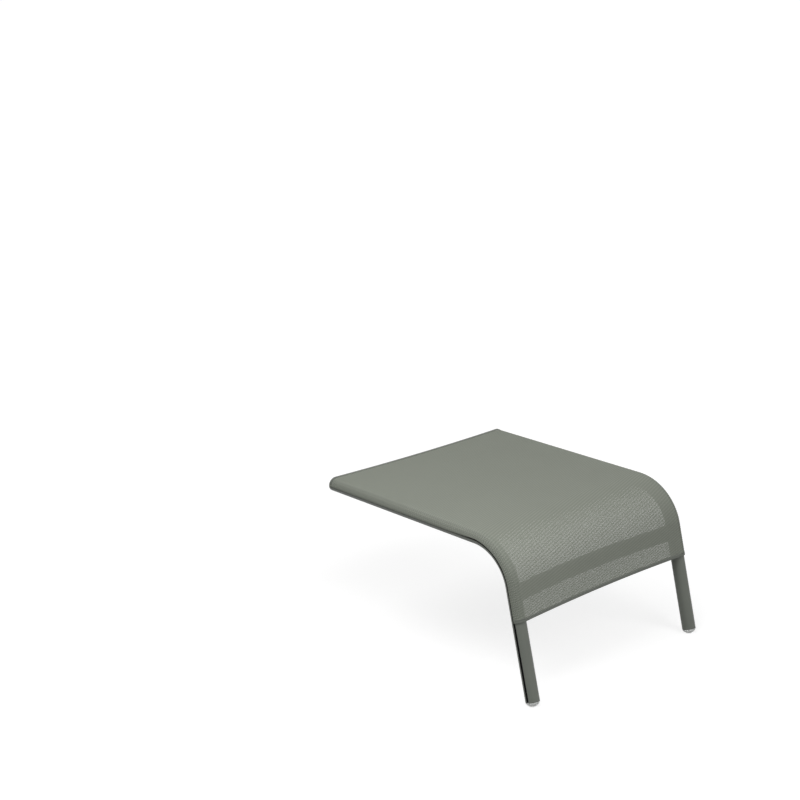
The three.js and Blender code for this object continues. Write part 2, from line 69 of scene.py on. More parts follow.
def camera_matrix(azimuth, elevation, roll, place):
    """The matrix of a camera or lamp that looks at the footrest from an azimuth and elevation, in
    degrees. Back is (sin a cos e, -cos a cos e, sin e), right is (cos a, sin a, 0) and up is their
    cross product. The roll turns right and up about back."""
    a, e, r = np.radians([azimuth, elevation, roll])
    back = np.array([np.sin(a) * np.cos(e), -np.cos(a) * np.cos(e), np.sin(e)])
    right = np.array([np.cos(a), np.sin(a), 0.0])
    up = np.cross(back, right)
    turned = np.cos(r) * right + np.sin(r) * up, np.cos(r) * up - np.sin(r) * right
    columns = np.column_stack([*turned, back, place])
    return Matrix(np.vstack([columns, [0, 0, 0, 1]]).tolist())


lens = bpy.data.cameras.new("photo_camera")
lens.sensor_width = SENSOR
lens.lens = FOCAL_PIXELS / IMAGE_PIXELS * SENSOR
lens.clip_end = 200.0
camera = bpy.data.objects.new("photo_camera", lens)
camera.matrix_world = camera_matrix(AZIMUTH, ELEVATION, ROLL, CAMERA_PLACE)
bpy.context.scene.collection.objects.link(camera)
bpy.context.scene.camera = camera
bpy.context.scene.view_settings.view_transform = "Standard"
print("lens", round(lens.lens, 2), "mm")

# %% [markdown]
# ## Coordinates that follow the rails
#
# Both rails are the same curve: straight along the top, a bend, and straight down the leg. Nearly every
# piece follows that curve, so places are given in the rails' own coordinates: the distance along the
# centreline from where the bend starts, the place across the footrest, and the rise off the centreline.
# One function turns them into points. A tube, a cord, a sheet and a stitch are then all short formulas.

# %% Rail coordinates
TUBE = 0.015
TUBE_WALL = 0.0018
HALF = 0.260
TOP_LENGTH, TOP_HEIGHT = 0.438, 0.334
BEND_RADIUS = 0.106
BEND = np.radians(75.0)
BEND_LENGTH = BEND_RADIUS * BEND
MIDDLE_HEIGHT = TOP_HEIGHT - TUBE
REAR_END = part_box("left_rail")[1][1]
BEND_START = REAR_END - TOP_LENGTH


def place(distance, across, rise):
    """Points from rail coordinates. The heading h is distance / radius, held between 0 and the bend's
    full angle. The centreline is at (-R sin h, M - R (1 - cos h)) plus whatever runs straight along
    (-cos h, -sin h), and the rise is measured along (-sin h, cos h)."""
    distance, across, rise = np.broadcast_arrays(distance, across, rise)
    h = np.clip(distance / BEND_RADIUS, 0.0, BEND)
    straight = np.minimum(distance, 0.0) + np.maximum(distance - BEND_LENGTH, 0.0)
    y = BEND_START - (BEND_RADIUS + rise) * np.sin(h) - straight * np.cos(h)
    z = MIDDLE_HEIGHT - BEND_RADIUS + (BEND_RADIUS + rise) * np.cos(h) - straight * np.sin(h)
    return np.stack([across, y, z], axis=-1)


def stations(start, end, straight_steps=8, bend_steps=48):
    """Distances along a rail: evenly spaced on each straight, and closer together round the bend."""
    top = np.linspace(start, 0.0, straight_steps + 1)[:-1] if start < 0 else []
    bend = np.linspace(max(start, 0.0), min(end, BEND_LENGTH), bend_steps)
    leg = np.linspace(BEND_LENGTH, end, straight_steps + 1)[1:] if end > BEND_LENGTH else []
    return np.concatenate([top, bend, leg])


LEG_AXIS_LENGTH = (MIDDLE_HEIGHT - BEND_RADIUS * (1 - np.cos(BEND))) / np.sin(BEND)
print("bend starts at y", round(BEND_START, 4), "leg axis is", round(LEG_AXIS_LENGTH, 4), "long")

# %% [markdown]
# ## From a grid of points to a mesh
#
# A surface is a function of two parameters, so its points form a grid. The faces come from the grid's
# indices by slicing, with no loop over vertices. A tube closes on itself in one direction, and a hollow
# tube, which runs out along its outside and back along its bore, closes in both. Many equal shapes, such
# as stitches, are one array with a further axis.

# %% Grid meshes
SAME_POINT = 1e-7
SIDES = (("left", -1), ("right", 1))


def full_turn(count):
    """Angles all the way round, without the last, which is the first again."""
    return np.linspace(0.0, 2 * np.pi, count + 1)[:-1]


def grid_faces(rows, columns, wrap):
    """Quads between neighbours of a rows by columns grid. Wrapping repeats the first row or column."""
    index = np.arange(rows * columns).reshape(rows, columns)
    index = np.vstack([index, index[:1]]) if wrap[0] else index
    index = np.hstack([index, index[:, :1]]) if wrap[1] else index
    corners = [index[:-1, :-1], index[1:, :-1], index[1:, 1:], index[:-1, 1:]]
    return np.stack(corners, axis=-1).reshape(-1, 4)


def tidy(mesh, sharp_degrees):
    """Merges doubled points, turns the faces of closed shells outwards and shades the rest smooth."""
    form = bmesh.new()
    form.from_mesh(mesh)
    bmesh.ops.remove_doubles(form, verts=form.verts, dist=SAME_POINT)
    bmesh.ops.dissolve_degenerate(form, edges=form.edges, dist=SAME_POINT / 10)
    bmesh.ops.recalc_face_normals(form, faces=form.faces)
    form.to_mesh(mesh)
    form.free()
    mesh.shade_smooth()
    mesh.set_sharp_from_angle(angle=np.radians(sharp_degrees))


def grid_mesh(name, points, wrap, sharp_degrees=35.0, cloth_map=None, **marks):
    """A mesh through a grid of points, or through each grid of a stack of them. Each mark is a named
    value at every point for the finish to read, and a cloth map is a pair of values at every point."""
    stack = points.reshape(-1, *points.shape[-3:])
    copies, rows, columns = stack.shape[:3]
    faces = grid_faces(rows, columns, wrap)
    offsets = np.arange(copies)[:, None, None] * rows * columns
    mesh = bpy.data.meshes.new(name)
    mesh.from_pydata(stack.reshape(-1, 3).tolist(), [], (faces + offsets).reshape(-1, 4).tolist())
    for mark, values in marks.items():
        mesh.attributes.new(mark, "FLOAT", "POINT").data.foreach_set("value", np.ravel(values))
    if cloth_map is not None:
        corners = np.empty(len(mesh.loops), dtype=np.int32)
        mesh.loops.foreach_get("vertex_index", corners)
        mesh.uv_layers.new(name="cloth").data.foreach_set("uv", cloth_map[corners].ravel())
    tidy(mesh, sharp_degrees)
    return mesh


def add_piece(mesh, finish, slot, *stands_for):
    """An object for a mesh. It rides on the one body and stands for the solids named after the slot."""
    piece = bpy.data.objects.new(mesh.name, mesh)
    bpy.context.scene.collection.objects.link(piece)
    piece.data.materials.append(finish)
    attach(piece, "root")
    if stands_for:
        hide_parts(*stands_for)
    print(piece.name, len(mesh.polygons), "faces")
    return piece


print("a 3 by 4 grid that wraps both ways has", len(grid_faces(3, 4, (True, True))), "faces")

# %% [markdown]
# ## A small language for shaders
#
# A finish is a network of nodes. Building one by hand takes a line for each link, so a small class wraps
# an output socket and gives it Python's operators: `1 - mask * 0.5` adds its two Math nodes by itself.
# Every other kind of node comes from one method that takes the node's type, its settings and its inputs.

# %% Signals and finishes
class Signal:
    """An output socket of a node, with operators that add Math nodes."""

    def __init__(self, finish, socket):
        self.finish, self.socket = finish, socket

    def math(self, operation, first, second=0.0):
        return self.finish.node("ShaderNodeMath", {"operation": operation}, {0: first, 1: second})

    def __add__(self, other):
        return self.math("ADD", self, other)

    def __sub__(self, other):
        return self.math("SUBTRACT", self, other)

    def __rsub__(self, other):
        return self.math("SUBTRACT", other, self)

    def __mul__(self, other):
        return self.math("MULTIPLY", self, other)

    def __truediv__(self, other):
        return self.math("DIVIDE", self, other)

    def __mod__(self, other):
        return self.math("FLOORED_MODULO", self, other)

    def __lt__(self, other):
        return self.math("LESS_THAN", self, other)

    def __gt__(self, other):
        return self.math("GREATER_THAN", self, other)

    def __abs__(self):
        return self.math("ABSOLUTE", self)

    def sine(self):
        return self.math("SINE", self)

    def most(self, other):
        return self.math("MAXIMUM", self, other)

    __radd__, __rmul__ = __add__, __mul__


class Finish:
    """A material with one Principled shader. Steady values are set on the shader's own sockets."""

    def __init__(self, name, **steady):
        self.material = bpy.data.materials.new(name)
        self.material.use_nodes = True
        self.tree = self.material.node_tree
        self.tree.nodes.clear()
        self.shader = self.tree.nodes.new("ShaderNodeBsdfPrincipled")
        output = self.tree.nodes.new("ShaderNodeOutputMaterial")
        self.tree.links.new(self.shader.outputs[0], output.inputs[0])
        for socket, value in steady.items():
            self.shader.inputs[socket.replace("_", " ")].default_value = value

    def node(self, kind, settings=None, sockets=None, output=0):
        """Adds a node of a kind, sets its settings, then fills its sockets with values or signals."""
        node = self.tree.nodes.new(kind)
        for key, value in (settings or {}).items():
            setattr(node, key, value)
        for key, value in (sockets or {}).items():
            self.fill(node.inputs[key], value)
        return Signal(self, node.outputs[output])

    def fill(self, socket, value):
        if isinstance(value, Signal):
            self.tree.links.new(value.socket, socket)
        else:
            socket.default_value = value

    def feed(self, **inputs):
        for socket, value in inputs.items():
            self.fill(self.shader.inputs[socket.replace("_", " ")], value)

    def object_place(self):
        return self.node("ShaderNodeTexCoord", output="Object")

    def noise(self, vector, scale, detail=2.0):
        return self.node("ShaderNodeTexNoise", {}, {"Vector": vector, "Scale": scale, "Detail": detail})

    def mixed(self, share, first, second):
        return self.node("ShaderNodeMix", {"data_type": "RGBA"}, {0: share, 6: first, 7: second}, 2)

    def relief(self, height, distance, strength=1.0):
        values = {"Height": height, "Distance": distance, "Strength": strength}
        return self.node("ShaderNodeBump", {}, values)

    def grain(self, noise, tones, gloss, skin):
        """Feeds colour, gloss and relief from one fine noise, and returns the colour. The noise is a
        scale and a detail, the tones are two screen colours, the gloss is its least roughness and the
        spread, and the skin is the relief's distance and strength."""
        speck = self.noise(self.object_place(), *noise)
        tone = self.mixed(speck, *(colour(*screen) for screen in tones))
        rough, spread = gloss
        self.feed(Base_Color=tone, Roughness=rough + speck * spread, Normal=self.relief(speck, *skin))
        return tone


def colour(red, green, blue):
    """A linear colour from screen values of 0 to 255, by the sRGB curve."""
    c = np.array([red, green, blue]) / 255.0
    linear = np.where(c <= 0.04045, c / 12.92, ((c + 0.055) / 1.055) ** 2.4)
    return (*linear.tolist(), 1.0)


print("mid sage is", np.round(colour(137, 141, 132), 3).tolist())

# %% [markdown]
# ## The powder coat
#
# The frame is aluminium tube under a satin powder coat in sage grey. A powder coat flows into a very
# fine orange-peel skin, so its gloss breaks up a little, and its tone drifts slightly over a hand's
# width. The inside of the narrow sling groove is painted nearly black as painted shade for the deep
# slot: full on the legs and only faint along the top. A vertex attribute on the rails, from 0 outside to
# 1 deep in the groove, tells the finish where that is.

# %% Powder coat
DRIFT_SCALE, SKIN_SCALE, SKIN_DEPTH = 14.0, 900.0, 0.00004
COAT_ROUGHNESS, ROUGHNESS_DRIFT, GROOVE_ROUGHNESS = 0.46, 0.16, 0.5


def powder_coat(name, shaded_groove):
    """The satin coat: a slow drift of tone and gloss, a fine skin, and painted shade in the groove where
    asked.
    """
    coat = Finish(name, Metallic=0.0, Specular_IOR_Level=0.35)
    here = coat.object_place()
    drift = coat.noise(here, DRIFT_SCALE)
    tone = coat.mixed(drift, colour(107, 111, 104), colour(116, 120, 112))
    rough = COAT_ROUGHNESS + (drift - 0.5) * ROUGHNESS_DRIFT
    if shaded_groove:
        # Painted shade: deep in the groove the coat is mixed towards near black.
        groove_shade_share = coat.node("ShaderNodeAttribute", {"attribute_name": "groove"}, output="Fac")
        tone = coat.mixed(groove_shade_share, tone, colour(4, 5, 4))
        rough = rough + groove_shade_share * GROOVE_ROUGHNESS
    skin = coat.noise(here, SKIN_SCALE)
    coat.feed(Base_Color=tone, Roughness=rough, Normal=coat.relief(skin, SKIN_DEPTH, strength=0.5))
    return coat.material


frame_coat = powder_coat("frame_powder_coat", shaded_groove=False)
rail_coat = powder_coat("rail_powder_coat", shaded_groove=True)
print("coats", frame_coat.name, rail_coat.name)

# %% [markdown]
# ## The rails
#
# Each rail is a bent tube whose outer side has a channel, open through a narrow slot, that holds the
# sling's edge cord. A plain cylinder would lose the black line that the slot draws along the leg. The
# section is written as one loop, round the outside and in through the slot, and is carried along the
# rail. The bore is a second loop with as many points, so the two ends close as rings between the loops.

# %% Rail section
SLOT = 0.0047
CHANNEL = 0.0043
CHANNEL_WALL = 0.0014
LIP_WALL = 0.0018
CHANNEL_PLACE = TUBE - LIP_WALL - CHANNEL
ROUND_POINTS, CHANNEL_POINTS, THROAT_POINTS = 96, 30, 5


def arc(centre, radius, start, end, count):
    """Points (across, rise) on a circle about (centre, 0), from one angle to another."""
    angle = np.linspace(start, end, count)
    return np.column_stack([centre + radius * np.cos(angle), radius * np.sin(angle)])


def softened(points, passes, closed):
    """Each point moves to half of itself plus a quarter of both neighbours, which rounds corners. The
    ends of an open line stay."""
    for _ in range(passes):
        moved = points / 2 + (np.roll(points, 1, axis=0) + np.roll(points, -1, axis=0)) / 4
        if not closed:
            moved[[0, -1]] = points[[0, -1]]
        points = moved
    return points


def line(start, end, count):
    """Points strictly between two ends."""
    return start + (end - start) * np.linspace(0.0, 1.0, count + 2)[1:-1, None]


def rail_loops():
    """The tube's outside with its channel, and its bore, as two loops of as many points."""
    mouth, throat = np.arcsin(SLOT / 2 / TUBE), np.arcsin(SLOT / 2 / CHANNEL)
    outside = arc(0.0, TUBE, mouth, 2 * np.pi - mouth, ROUND_POINTS)
    channel = arc(CHANNEL_PLACE, CHANNEL, 2 * np.pi - throat, throat, CHANNEL_POINTS)
    way_in = line(outside[-1], channel[0], THROAT_POINTS)
    way_out = line(channel[-1], outside[0], THROAT_POINTS)
    bore, wall = TUBE - TUBE_WALL, CHANNEL + CHANNEL_WALL
    crossing = (bore**2 + CHANNEL_PLACE**2 - wall**2) / (2 * CHANNEL_PLACE)
    bore_angle, wall_angle = np.arccos(crossing / bore), np.arccos((crossing - CHANNEL_PLACE) / wall)
    round_bore = arc(0.0, bore, bore_angle, 2 * np.pi - bore_angle, ROUND_POINTS)
    wall_points = CHANNEL_POINTS + 2 * THROAT_POINTS + 2
    round_wall = arc(CHANNEL_PLACE, wall, 2 * np.pi - wall_angle, wall_angle, wall_points)[1:-1]
    outer = softened(np.vstack([outside, way_in, channel, way_out]), passes=1, closed=True)
    return outer, np.vstack([round_bore, round_wall])


outer_loop, bore_loop = rail_loops()
print("section points", len(outer_loop), "outside and", len(bore_loop), "in the bore")

# %% Rail meshes
GLIDE_HEIGHT = 0.011
GLIDE_SPHERE = (TUBE**2 + GLIDE_HEIGHT**2) / (2 * GLIDE_HEIGHT)
GLIDE_WORN = 0.0012
FOOT_LIFT = (GLIDE_SPHERE - GLIDE_WORN) / np.sin(BEND) + GLIDE_HEIGHT - GLIDE_SPHERE
FOOT_END = BEND_LENGTH + LEG_AXIS_LENGTH - FOOT_LIFT
GROOVE_EDGE = TUBE - 0.0001
TOP_GROOVE_SHADE_SHARE, GROOVE_FADE = 0.1, 0.03


def rail_mesh(name, side):
    """The outer loop runs from the rear end to the foot and the bore loop runs back. The groove's
    painted shade grows from a tenth along the top to full round the first half of the bend."""
    along = stations(-TOP_LENGTH, FOOT_END)
    loops = [(outer_loop, along), (bore_loop, along[::-1])]
    shells = [place(d[:, None], side * (HALF + loop[:, 0]), loop[:, 1]) for loop, d in loops]
    in_groove = np.hypot(*outer_loop.T) < GROOVE_EDGE
    # Painted shade in the groove: a tenth of full along the top, full from halfway round the bend.
    groove_shade_along = np.interp(along, [-GROOVE_FADE, BEND_LENGTH / 2], [TOP_GROOVE_SHADE_SHARE, 1.0])
    groove = np.vstack([groove_shade_along[:, None] * in_groove, np.zeros((len(along), len(in_groove)))])
    return grid_mesh(name, np.vstack(shells), wrap=(True, True), groove=groove)


for word, side in SIDES:
    add_piece(rail_mesh(f"{word}_tube", side), rail_coat, "frame_paint", f"{word}_rail")

# %% [markdown]
# ## The crossbars
#
# Two tubes as thick as the rails hold these apart. They bow away from the sling, so that it can give
# under a leg's weight. The rear one is round, and the front one is a little wider along the legs. A tube
# that meets another is cut to a saddle. The cut can be made with a boolean, but it is also the place
# along each line of the bar where the distance to the rail's axis falls to the rail's radius, which one
# array of trial places finds for all lines.

# %% Crossbar surfaces
BOW = 0.025
BOW_CIRCLE = (HALF**2 + BOW**2) / (2 * BOW)
FRONT_BAR = BEND_LENGTH + 0.0174
REAR_BAR = 0.033 - TOP_LENGTH
BAR_WIDENING = 0.00225
TRIAL_START_SHARE, TRIALS = 0.9, 1500


def bowed(x, along, raised):
    """(across, rise) of a point that lies along and raised from a bowed bar's middle line at x. The
    line drops sqrt(B^2 - x^2) - (B - bow), and it is turned there by the angle whose sine is x / B."""
    sine = x / BOW_CIRCLE
    cosine = np.sqrt(1 - sine**2)
    drop = BOW_CIRCLE * cosine - (BOW_CIRCLE - BOW)
    return x + along * cosine - raised * sine, raised * cosine + along * sine - drop


def saddle(angle, radius):
    """For each angle round the bar, the x at which its line comes within the rail's radius. A line
    that only passes by takes its nearest place."""
    trial = np.linspace(TRIAL_START_SHARE * HALF, HALF, TRIALS)[:, None]
    across, rise = bowed(trial, 0.0, radius * np.cos(angle))
    reach = np.hypot(HALF - across, rise)
    first = np.argmax(reach <= TUBE, axis=0)
    nearest = np.argmin(reach, axis=0)
    return trial[np.where((reach <= TUBE).any(axis=0), first, nearest), 0]


def bar_mesh(name, distance, widening):
    """The bar's outside from one saddle to the other, and its bore back again. Its section is an oval,
    (r + w) sin(a) along the rails and r cos(a) in the rise, which is round where w is 0."""
    angle = full_turn(72)
    share = np.linspace(-1.0, 1.0, 61)[:, None]
    shells = []
    for radius, way in ((TUBE, share), (TUBE - TUBE_WALL, -share)):
        across, rise = bowed(way * saddle(angle, radius), 0.0, radius * np.cos(angle))
        shells.append(place(distance + (radius + widening) * np.sin(angle), across, rise))
    return grid_mesh(name, np.vstack(shells), wrap=(True, True))


add_piece(bar_mesh("front_bar_tube", FRONT_BAR, BAR_WIDENING), frame_coat, "frame_paint", "front_crossbar")
add_piece(bar_mesh("rear_bar_tube", REAR_BAR, 0.0), frame_coat, "frame_paint", "rear_crossbar")

# %% [markdown]
# ## The weld beads
#
# A bead of weld runs round each saddle. It is a small round tube along the saddle's curve, with the
# fine ripples that a welder's steps leave, and the coat covers it as it covers the tubes. Where the
# sling passes over it, it is ground flush, which is one np.minimum on the rise.

# %% Weld beads
BEAD = 0.0024
RIPPLES, RIPPLE_SHARE, LEAST_SHARE = 34, 0.12, 0.3


def bead_mesh(name, distance, widening, side):
    """A circle carried round the saddle's curve. Its first direction bisects the outward directions of
    the rail and the bar. Its radius is b (1 + 0.12 cos(34 a)), rippled, times 0.3 + 0.7 sqrt(1 - c),
    where c is the cosine between those directions, so that it fades out where the tubes run level."""
    angle = full_turn(240)
    x = saddle(angle, TUBE)
    across, rise = bowed(x, 0.0, TUBE * np.cos(angle))
    curve = np.column_stack([(TUBE + widening) * np.sin(angle), across, rise])
    off_rail = np.column_stack([0 * angle, across - HALF, rise]) / TUBE
    sine = x / BOW_CIRCLE
    tilt = np.cos(angle) * np.sqrt(1 - sine**2)
    off_bar = np.column_stack([np.sin(angle) * TUBE / (TUBE + widening), -np.cos(angle) * sine, tilt])
    level = np.clip((off_rail * off_bar).sum(axis=1), 0.0, 1.0)
    curve = softened(curve, passes=6, closed=True)
    out = softened(off_rail + off_bar, passes=6, closed=True)
    out /= np.linalg.norm(out, axis=1, keepdims=True)
    ahead = np.roll(curve, -1, axis=0) - np.roll(curve, 1, axis=0)
    ahead /= np.linalg.norm(ahead, axis=1, keepdims=True)
    cross = np.cross(ahead, out)
    cross /= np.linalg.norm(cross, axis=1, keepdims=True)
    turn = full_turn(16)
    size_share = LEAST_SHARE + (1 - LEAST_SHARE) * np.sqrt(1 - level)
    size = (BEAD * (1 + RIPPLE_SHARE * np.cos(RIPPLES * angle)) * size_share)[:, None, None]
    ring = np.cos(turn)[:, None] * out[:, None] + np.sin(turn)[:, None] * cross[:, None]
    d, a, r = np.moveaxis(curve[:, None] + size * ring, -1, 0)
    points = place(distance + d, side * a, np.minimum(r, TUBE))
    return grid_mesh(name, points, wrap=(True, True), sharp_degrees=60.0)


for word, side in SIDES:
    for end, distance, widening in (("front", FRONT_BAR, BAR_WIDENING), ("rear", REAR_BAR, 0.0)):
        bead = bead_mesh(f"{word}_{end}_bead", distance, widening, side)
        add_piece(bead, frame_coat, "frame_paint", f"{word}_{end}_weld")

# %% [markdown]
# ## The sling's weave
#
# The sling is woven from coated yarns with small openings between them. From a flat angle the yarns
# hide the openings and the cloth looks solid. Seen face on it lets light through, which is why the
# front shows the crossbar behind it. Painting that by the camera's angle would be wrong from every
# other side. Instead the cloth has a real thickness, and both of its faces have openings at the same
# places: at a flat angle an opening in one face lies over yarn in the other. The inner face's openings
# are longer than the outer face's, so the cloth stays as open over a range of angles, and each opening
# slants a little as it goes in. The pattern reads the cloth's own map, in metres across and along it,
# so it bends with the sheet. Fine slanting ribs of thicker yarn give the diagonal lines. The yarns are
# painted lighter on their crowns and darker beside the openings, a painted highlight and shade. Over
# the tubes, round the bend and down the leg, the cloth is painted darker with stronger ribs, as painted
# shade for the shadowed tube seen through its openings. Along each row of stitches it sinks into a
# shallow valley, darkened with painted shade, and painted shade turns it nearly black where it enters
# the slot.

# %% Weave finish
PITCH_ACROSS, GAP_ACROSS = 0.0021, 0.00142
PITCH_ALONG, OUTER_GAP, INNER_GAP = 0.0022, 0.00034, 0.00072
OPENING_SLANT = 0.00007
RIB_WAVES = (46.0, 182.0)
RIB_GAP_SHARE, RIB_TONE_SHARE, RIB_RISE = 0.2, 0.22, 0.12
YARN_SHADE_SHARE, YARN_RELIEF = 0.6, 0.0003
OUTER_PLY, INNER_PLY = 0.0167, 0.0154
SEAM_ANGLES = np.radians([27.0, 50.0])
SEAM_ROWS = (HALF + OUTER_PLY * (np.pi / 2 - SEAM_ANGLES)).tolist()
SEAM_VALLEY, VALLEY_SHADE_SHARE, VALLEY_DROP = 0.0024, 0.42, 1.2
OVER_TUBE_SHADE_FROM, OVER_TUBE_SHADE_SHARE, OVER_TUBE_RIB_SHARE = 0.05, 0.25, 0.2
SLOT_MOUTH, MOUTH_FADE = HALF + 0.0252, 0.0012


def woven_mesh():
    """Openings where both yarn directions leave a gap, longer on the inner face, with slanting ribs,
    yarn relief, a slight drift of tone, and painted highlight and shade: on the yarns, over the tubes,
    in the seams' valleys and in the slot. u is the place across the cloth and v the one along it, which
    is 0 where the bend starts."""
    cloth = Finish("woven_mesh", Metallic=0.0, Specular_IOR_Level=0.25)
    cloth_map = cloth.node("ShaderNodeUVMap", {"uv_map": "cloth"})
    u = cloth.node("ShaderNodeSeparateXYZ", {}, {0: cloth_map}, "X")
    v = cloth.node("ShaderNodeSeparateXYZ", {}, {0: cloth_map}, "Y")
    rib = (u * (2 * np.pi * RIB_WAVES[0]) + v * (2 * np.pi * RIB_WAVES[1])).sine()
    off_u = abs((u / PITCH_ACROSS) % 1.0 - 0.5)
    inner = cloth.node("ShaderNodeAttribute", {"attribute_name": "inner"}, output="Fac")
    off_v = abs(((v - inner * OPENING_SLANT) / PITCH_ALONG) % 1.0 - 0.5)
    gap_u = off_u < GAP_ACROSS / PITCH_ACROSS / 2
    outer_reach = (0.5 + rib * RIB_GAP_SHARE) * (OUTER_GAP / PITCH_ALONG)
    inner_reach = INNER_GAP / PITCH_ALONG / 2
    gap_v = off_v < outer_reach + inner * (inner_reach - outer_reach)
    opening = gap_u * gap_v
    here = cloth.object_place()
    drift = cloth.noise(here, scale=9.0)
    slub = cloth.noise(here, scale=420.0)
    light = cloth.mixed(drift * 0.5 + slub * 0.5, colour(145, 148, 138), colour(157, 161, 150))
    # Painted shade over the tubes round the bend and down the leg: darker cloth and stronger ribs.
    over_tube_shade_share = (abs(u) > HALF) * (1.0 - (1.0 - (v / OVER_TUBE_SHADE_FROM).most(0.0)).most(0.0))
    rib_share = rib * (RIB_TONE_SHARE + over_tube_shade_share * OVER_TUBE_RIB_SHARE)
    # Painted highlight and shade on the yarns: lighter on their crowns, darker beside the openings.
    yarn_shade_share = (off_u.most(off_v) - 0.4) * YARN_SHADE_SHARE
    light_share = 0.5 - over_tube_shade_share * OVER_TUBE_SHADE_SHARE + rib_share + yarn_shade_share
    tone = cloth.mixed(light_share, colour(124, 129, 119), light)
    # Painted shade in a shallow valley along each row of stitches.
    rows = [1.0 - abs(abs(u) - row) / SEAM_VALLEY for row in SEAM_ROWS]
    valley_share = rows[0].most(rows[1]).most(0.0)
    tone = cloth.mixed(valley_share * VALLEY_SHADE_SHARE, tone, colour(74, 78, 71))
    # Painted shade where the cloth enters the slot: nearly black past the slot's mouth.
    slot_shade_share = (abs(u) - SLOT_MOUTH) / MOUTH_FADE
    tone = cloth.mixed(slot_shade_share, tone, colour(14, 15, 13))
    height = off_u.most(off_v) + rib * RIB_RISE - valley_share * VALLEY_DROP
    crown = cloth.relief(height, YARN_RELIEF, strength=0.6)
    cloth.feed(Base_Color=tone, Roughness=0.62 + slub * 0.2, Normal=crown, Alpha=1.0 - opening)
    return cloth.material


mesh_finish = woven_mesh()
print("weave nodes", len(mesh_finish.node_tree.nodes))

# %% [markdown]
# ## The sling's shape
#
# The sling is one sheet. It lies flat from rail to rail, wraps over each rail's outer side, goes in
# through the slot, loops round the edge cord in the channel, comes back out and ends under itself, where
# two rows of stitches close the pocket. That whole section is one line of points, carried along the
# rails. Round the bend the pull of the cloth lifts it against the slot's upper lip, so the line is a
# blend of a low one and a high one. Between the rails the tension draws the front and rear edges in to
# shallow arcs. A cloth simulation would only find the same taut shape, so none is run.

# %% Sling section
PLY, CLOTH, THINNING = 0.0005, 0.0006, 0.012
PLY_PITCH = 0.00065
CORD_CLEARANCE = 0.0001
SLOT_RISE = 0.0014
HEM = BEND_LENGTH + 0.072
HEM_ARCH, REAR_ARCH = 0.005, 0.007
REAR_EDGE = 0.0015 - TOP_LENGTH
LIP_ANGLE, POCKET_END = np.radians([18.0, 80.0])
LIFT_PLACES, LIFT_SHARES = [-0.06, 0.01, 0.10, 0.14], [0.0, 1.0, 1.0, 0.9]
FLAT_POINTS, OVER_POINTS, LOOP_POINTS, UNDER_POINTS, SHORT_POINTS = 30, 22, 44, 24, 6


def half_section(low):
    """(across, rise) from the middle to the pocket's end: flat, over the tube, through the slot at a
    rise of its own, round the cord, and back under the outer ply."""
    high = low + PLY_PITCH
    flat_across = np.linspace(0.0, HALF, FLAT_POINTS + 1)[:-1]
    flat = np.column_stack([flat_across, np.full(FLAT_POINTS, OUTER_PLY)])
    over = arc(HALF, OUTER_PLY, np.pi / 2, LIP_ANGLE, OVER_POINTS)
    lip = arc(HALF, OUTER_PLY, LIP_ANGLE, np.arcsin(low / OUTER_PLY), SHORT_POINTS)[1:]
    loop_radius = CHANNEL - PLY / 2 - CORD_CLEARANCE
    cord_place = HALF + CHANNEL_PLACE
    start, end = np.arcsin(low / loop_radius), np.arcsin(high / loop_radius) - 2 * np.pi
    loop = arc(cord_place, loop_radius, start, end, LOOP_POINTS)
    under = arc(HALF, INNER_PLY, np.arcsin(high / INNER_PLY), POCKET_END, UNDER_POINTS)
    way_in = line(lip[-1], loop[0], SHORT_POINTS)
    way_out = line(loop[-1], under[0], SHORT_POINTS)
    return np.vstack([flat, over, lip, way_in, loop, way_out, under])


def whole_section(low):
    """The half section with its corners rounded, and its mirror image before it."""
    right_half = softened(half_section(low), passes=2, closed=False)
    return np.vstack([right_half[:0:-1] * [-1, 1], right_half])


section, low_section = whole_section(SLOT_RISE), whole_section(-SLOT_RISE)
steps = np.linalg.norm(np.diff(section, axis=0), axis=1)
run = np.concatenate([[0.0], np.cumsum(steps)])
run -= run[-1] / 2
off_section = np.gradient(section, run, axis=0)[:, ::-1] * [-1, 1]
off_section /= np.linalg.norm(off_section, axis=1, keepdims=True)
thickness = np.interp(np.abs(run), [HALF, HALF + THINNING], [CLOTH, PLY])
print("cloth is", round(run[-1] * 2, 4), "m wide when laid flat")

# %% Sling sheet
def drawn_in(across, arch):
    """How far an arched edge is drawn in at a place across: a circle's arc, deepest at mid width."""
    circle = (HALF**2 + arch**2) / (2 * arch)
    x = np.clip(across, -HALF, HALF)
    return np.sqrt(circle**2 - x**2) - (circle - arch)


def front_edge(across):
    return HEM - drawn_in(across, HEM_ARCH)


def rear_edge(across):
    return REAR_EDGE + drawn_in(across, REAR_ARCH)


